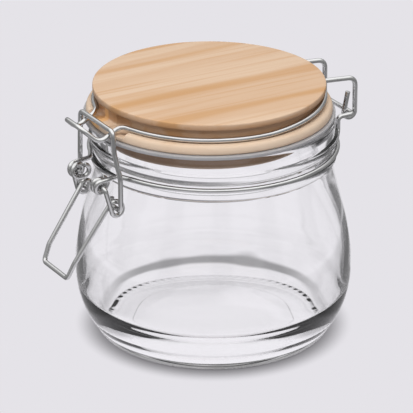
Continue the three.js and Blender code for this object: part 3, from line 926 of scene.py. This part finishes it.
def neck_route():
    leaves = Vector((neck_eye_x, -ring_radius, ring_height))
    meets = after(meeting_angle(leaves, lever_pivot, NECK_EYE_RADIUS), 0)
    ends = after(3 * QUARTER, meets + (NECK_EYE_TURNS - 0.5) * FULL)
    inner_x = neck_eye_x - COIL_PITCH * (ends - meets) / FULL
    tail_centre = lever_pivot + Vector((0, NECK_EYE_TAIL, 0))
    tail = coil(tail_centre, NECK_EYE_RADIUS, ends + TAIL_TURNS * FULL, ends, inner_x - TOUCH, inner_x)
    eye = coil(lever_pivot, NECK_EYE_RADIUS, ends, meets, inner_x, neck_eye_x)
    riser_x = HINGE_WIDTH / 2
    riser_y = math.sqrt(COLLAR_RADIUS ** 2 - riser_x ** 2) + WIRE / 2 + RISER_STAND_OFF
    round_jar = arc_round_jar(ring_radius, ring_height, riser_x + RISER_LEAD, neck_eye_x + NECK_EYE_LEAD)
    return rounded([
        *tail,
        *eye,
        leaves,
        *reversed(round_jar),
        Vector((riser_x, riser_y, ring_height)),
        Vector((riser_x, riser_y, hinge.z)),
        Vector((riser_x, hinge.y, hinge.z)),
        hinge,
    ], TIGHT_BEND)


finished("neck_wire", bent_wire(neck_route()), steel_material, "jar", "neck_ring")

# %% [markdown]
# ## Lid wire
#
# A second wire lies in the lid's groove. Its ends hook round the staple's bar from above, and at the front
# it turns out through the scoops into a dipped hook, which the latch pulls down.

# %% Bend the lid wire
BAIL_RADIUS = LID_GROOVE_RADIUS + TOUCH + WIRE / 2
HINGE_HOOK_RADIUS = 2.6
LID_ARM_SPAN = 23
ARM_LEAD = 5
ARM_BEND = 4
STUB_LENGTH = 8.8
STUB_LEAN = 1.8
BAIL_RISE = 2
ARM_FALL = 1.4
HOOK_BEND = 4.5
HOOK_LEAD = 6.5
TIP_WIDTH = 12.6
HOOK_DIP = 5.3
HOOK_REACH = 13
HOOK_VALLEY = 6.5
TIP_RISE = 6.2

bail_height = flange_top + TOUCH + WIRE / 2
hook_valley = bail_height - HOOK_DIP


def lid_wire_route():
    arm_x = LID_ARM_SPAN / 2
    hook_x = HOOK_WIDTH / 2
    arm_top = bail_height + BAIL_RISE
    rear_reach = tangent_reach(BAIL_RADIUS, arm_x + ARM_LEAD, arm_x)
    front_reach = tangent_reach(BAIL_RADIUS, hook_x + HOOK_LEAD, hook_x)
    round_lid = arc_round_jar(BAIL_RADIUS, bail_height, arm_x + ARM_LEAD, hook_x + HOOK_LEAD)
    for point in round_lid:
        point.z += BAIL_RISE * max(point.y / rear_reach, 0)
        point.y += LID_MIDDLE
    rear = [
        Vector((arm_x, hinge.y - HINGE_HOOK_RADIUS + STUB_LEAN, hinge.z + STUB_LENGTH)),
        *coil(hinge, HINGE_HOOK_RADIUS, -2 * QUARTER, 0, arm_x, arm_x),
        Vector((arm_x, hinge.y + HINGE_HOOK_RADIUS, arm_top - ARM_FALL)),
        Vector((arm_x, LID_MIDDLE + rear_reach, arm_top)),
        round_lid[0],
    ]
    front = [
        round_lid[-1],
        Vector((hook_x, LID_MIDDLE - front_reach, bail_height)),
        Vector((hook_x, -COLLAR_RADIUS - HOOK_VALLEY, hook_valley)),
        Vector((TIP_WIDTH / 2, -COLLAR_RADIUS - HOOK_REACH, hook_valley + TIP_RISE)),
        Vector((0, -COLLAR_RADIUS - HOOK_REACH, hook_valley + TIP_RISE)),
    ]
    return rounded(rear, ARM_BEND) + round_lid[1:-1] + rounded(front, HOOK_BEND)


finished("lid_wire", bent_wire(lid_wire_route()), steel_material, "lid", "lid_bail")

# %% [markdown]
# ## Latch
#
# The lever turns in the neck wire's eyes: a pin on each side, a crank down to an eye of its own, and a long
# handle. The link turns in the lever's eyes, and its top bar lies over the lid wire's hook. Pulling the
# handle down swings the link's lower end past the line between pivot and hook, and the lid stays shut.

# %% Bend the lever
LEVER_EYE_RADIUS = 2.7
CRANK_SPLAY = 0.5
HANDLE_OUT = 15.1
HANDLE_DOWN = 36.2
HANDLE_WIDTH = 19.6
KNEE_LENGTH = 7
KNEE_OUT = 2.8
PIN_TAIL = 1.2
SIDE_BY_SIDE = 2.408

crank_x = neck_eye_x + SIDE_BY_SIDE
lever_eye_x = crank_x + CRANK_SPLAY
handle_x = lever_eye_x - COIL_PITCH


def lever_route():
    end = lever_pivot + Vector((HANDLE_WIDTH / 2, -HANDLE_OUT, -HANDLE_DOWN))
    knee = end + Vector((0, KNEE_OUT, math.sqrt(KNEE_LENGTH ** 2 - KNEE_OUT ** 2)))
    knee.x = (handle_x + HANDLE_WIDTH / 2) / 2
    pin_end = neck_eye_x - COIL_PITCH - WIRE / 2 - PIN_TAIL
    meets = meeting_angle(lever_pivot, link_pivot, LEVER_EYE_RADIUS)
    leaves = after(leaving_angle(link_pivot, knee, LEVER_EYE_RADIUS), meets)
    return rounded([
        lever_pivot + Vector((pin_end, 0, 0)),
        lever_pivot + Vector((crank_x, 0, 0)),
        *coil(link_pivot, LEVER_EYE_RADIUS, meets, leaves, lever_eye_x, handle_x),
        knee,
        end,
        Vector((0, end.y, end.z)),
    ], TIGHT_BEND)


finished("lever_wire", bent_wire(lever_route()), steel_material, "lever", "latch_lever")

# %% Bend the link
LINK_WIDTH = 26.8
LINK_SPLAY = 0.6
LINK_BAR_LIFT = 5.1
LINK_BAR_REACH = 2.6
LINK_KNEE_LOW = 13.7
LINK_KNEE_HIGH = 23.7
LINK_CURL = 3.6
LINK_BEND = 2.6

link_leg_x = lever_eye_x + SIDE_BY_SIDE
link_curl_x = handle_x - SIDE_BY_SIDE


def link_route():
    bar = Vector((LINK_WIDTH / 2, -COLLAR_RADIUS - LINK_BAR_REACH, hook_valley + LINK_BAR_LIFT))
    return rounded([
        link_pivot + Vector((link_curl_x, 0, LINK_CURL)),
        link_pivot + Vector((link_curl_x, 0, 0)),
        link_pivot + Vector((link_leg_x, 0, 0)),
        link_pivot + Vector((link_leg_x, 0, LINK_KNEE_LOW)),
        Vector((bar.x + LINK_SPLAY, bar.y, link_pivot.z + LINK_KNEE_HIGH)),
        bar,
        Vector((0, bar.y, bar.z)),
    ], LINK_BEND)


finished("link_wire", bent_wire(link_route()), steel_material, "link", "latch_link")

# %% [markdown]
# ## Floor and light
#
# The jar stands on a pale table in a soft studio. Most light comes from above, so that a level surface of
# any colour renders about as it is written and an upright one is darker. The camera sees the table's plain
# colour. An Ambient Occlusion node darkens it where something stands close above, which is the soft shadow
# round the foot. The table lies a hair below the standing ring, because a renderer can't tell which of two
# faces in one plane comes first. Glass and metal have no look of their own: they show their surroundings.
# So rays that were bent by glass find dark cards to either side of the jar, which draw its dark edges, a
# band of painted shadow round the foot, which draws the grey arc behind the base, and dark stripes farther
# off. Rays that were mirrored find a dark studio under a bright ceiling, which draws dark and bright lines
# along the wires.

# %% Dark cards, painted foot shadow and stripes
# Distances are metres from the jar's axis. Each pair is a soft edge: where it starts and where it ends.
CARD_START = (0.054, 0.062)
CARD_FULL = (0.062, 0.09)
CARD_END = (0.2, 0.26)
CARD_LENGTH = (0.22, 0.28)
CARD_SLANT = 0.28
CARD_PALE = 0.62
CARD_DARK = 0.88
BAND_START = (0.063, 0.0675)
BAND_END = (0.072, 0.0765)
BAND_SIDES = (0.03, 0.055)
BAND_SQUEEZE = 2
BAND_DARK = 0.7
BAND_FADE = 0.8
STRIPES_START = (0.27, 0.4)

# The stripes all round: how many there are, and the cosines between which an edge fades.
STRIPES = 8
STRIPE_EDGE = (-0.75, 0.1)


def light_paths(finish):
    """Whether a ray comes from the camera, from a mirroring surface or out of glass."""
    camera_ray = finish.node("LightPath", out="Is Camera Ray")
    bent = finish.node("LightPath", out="Is Transmission Ray")
    mirrored = finish.node("LightPath", out="Is Glossy Ray") * (1 - bent)
    return camera_ray, mirrored, bent


def stripes(x, y):
    """Dark cards that stand round the studio with as wide gaps between them, as 0 to 1."""
    return 1 - (x.math("ARCTAN2", x, y) * STRIPES).function("COSINE").ease(*STRIPE_EDGE)


def side_cards(sideways, forwards):
    """The dark cards to the left and right of the jar, paler where they come close to it, as 0 to 1."""
    card = (sideways - forwards * CARD_SLANT).ease(*CARD_START)
    card = card * (CARD_PALE + (1 - CARD_PALE) * sideways.ease(*CARD_FULL))
    return card * (1 - sideways.ease(*CARD_END)) * (1 - forwards.ease(*CARD_LENGTH))


def painted_foot_shadow(sideways, forwards):
    """Painted shadow round the jar's foot, seen through glass: a band before and behind the jar, as 0 to 1.
    """
    reach = (forwards * forwards + sideways * sideways * BAND_SQUEEZE) ** 0.5
    band = reach.ease(*BAND_START) * (1 - reach.ease(*BAND_END)) * BAND_DARK
    return band * (1 - sideways.ease(*BAND_SIDES) * BAND_FADE)


print("dark cards from", CARD_START[0], "m to", CARD_END[1], "m beside the jar's axis")

# %% Floor
BACKDROP = (0.783, 0.768, 0.807)
SHADOW = (0.16, 0.155, 0.165)
THROUGH_GLASS = (0.845, 0.829, 0.871)
UNDER_GLASS = (0.92, 0.903, 0.949)
DARK_CARD = (0.03, 0.03, 0.03)
DARK_TABLE = (0.24, 0.24, 0.24)
LIT_TABLE = (0.4, 0.39, 0.41)
FLOOR_RADIUS = 6
UNDER_JAR = (0.035, 0.06)
MIRRORED_START = (0.1, 0.4)
CONTACT = 0.009
TABLE_GAP = 0.05 * MM


def table_top():
    material, finish = new_finish("table_top")
    x, y, _ = finish.parts(finish.node("TexCoord", out="Object"))
    sideways = abs(x * right.x + y * right.y)
    forwards = abs(x * level_back.x + y * level_back.y)
    distance = (x * x + y * y) ** 0.5
    card = side_cards(sideways, forwards)
    far_cards = stripes(x, y) * distance.ease(*STRIPES_START)
    # The band is painted shadow of the foot, which only rays bent by glass see.
    dark = card.or_more(far_cards).or_more(painted_foot_shadow(sideways, forwards)) * CARD_DARK
    camera_ray, mirrored, bent = light_paths(finish)
    open_above = finish.node("AmbientOcclusion", {"samples": 16}, {"Distance": CONTACT}, out="AO")
    colour = finish.mix(open_above.ease(0, 1), SHADOW, BACKDROP)
    through_glass = finish.mix(distance.ease(*UNDER_JAR), UNDER_GLASS, THROUGH_GLASS)
    colour = finish.mix(bent, colour, finish.mix(dark, through_glass, DARK_CARD))
    dark_mirrored = card.or_more(distance.ease(*MIRRORED_START))
    colour = finish.mix(mirrored, colour, finish.mix(dark_mirrored, BACKDROP, DARK_TABLE))
    plain = finish.node("Emission", None, {"Color": colour})
    lit = finish.node("BsdfDiffuse", None, {"Color": (*LIT_TABLE, 1)})
    seen = camera_ray.or_more(mirrored).or_more(bent)
    finish.show(finish.node("MixShader", None, {0: seen, 1: lit, 2: plain}))
    return material


table = bmesh.new()
bmesh.ops.create_circle(table, cap_ends=True, segments=96, radius=FLOOR_RADIUS)
bmesh.ops.translate(table, verts=table.verts[:], vec=(0, 0, -TABLE_GAP))
table_mesh = bpy.data.meshes.new("table")
table.to_mesh(table_mesh)
table.free()
table_mesh.materials.append(table_top())
floor = bpy.data.objects.new("table", table_mesh)
bpy.context.scene.collection.objects.link(floor)
print("floor", FLOOR_RADIUS, "m in radius")

# %% World
LOW_LIGHT = (0.25, 0.25, 0.26)
HIGH_LIGHT = (0.62, 0.62, 0.62)
DARK_STUDIO = (0.28, 0.28, 0.28)
GREY_STUDIO = (0.5, 0.5, 0.5)
CEILING = (1.45, 1.45, 1.45)
HIGH_CARD = (0.34, 0.34, 0.34)
LIGHT_RISE = (-0.1, 0.9)
HIGH_CARD_RISE = (0.12, 0.4)
CEILING_RISE = (0.3, 0.75)


def studio_world():
    world = bpy.data.worlds.new("studio")
    world.use_nodes = True
    bpy.context.scene.world = world
    finish = Finish(world.node_tree, "OutputWorld")
    x, y, z = finish.parts(finish.node("TexCoord", out="Generated"))
    card = stripes(x, y)
    camera_ray, mirrored, bent = light_paths(finish)
    through_glass = finish.mix(card * CARD_DARK, THROUGH_GLASS, DARK_CARD)
    through_glass = finish.mix(z.ease(*HIGH_CARD_RISE), through_glass, HIGH_CARD)
    dark_studio = finish.mix(card, GREY_STUDIO, DARK_STUDIO)
    in_metal = finish.mix(z.ease(*CEILING_RISE), dark_studio, CEILING)
    colour = finish.mix(z.ease(*LIGHT_RISE), LOW_LIGHT, HIGH_LIGHT)
    colour = finish.mix(bent, colour, through_glass)
    colour = finish.mix(mirrored, colour, in_metal)
    finish.show(finish.node("Background", None, {"Color": finish.mix(camera_ray, colour, BACKDROP)}))


studio_world()
print("world with", STRIPES, "dark stripes")


# %% Lamps
LAMP_SIZE = 0.5


def soft_lamp(name, backwards, leftwards, height, watts):
    """A square soft lamp that looks at the jar from a place given as the camera sees it, in metres. Neither
    glass nor metal mirrors it."""
    place = level_back * backwards - right * leftwards + Vector((0, 0, height))
    lamp = bpy.data.lights.new(name, "AREA")
    lamp.size = LAMP_SIZE
    lamp.energy = watts
    made = bpy.data.objects.new(name, lamp)
    made.location = place
    made.rotation_mode = "QUATERNION"
    made.rotation_quaternion = (AIM - place).to_track_quat("-Z", "Y")
    made.visible_glossy = False
    made.visible_transmission = False
    bpy.context.scene.collection.objects.link(made)
    print(name, "of", watts, "W")


soft_lamp("overhead", backwards=0.6, leftwards=0, height=1, watts=6.6)
soft_lamp("left_window", backwards=0.5, leftwards=0.9, height=0.8, watts=1.5)
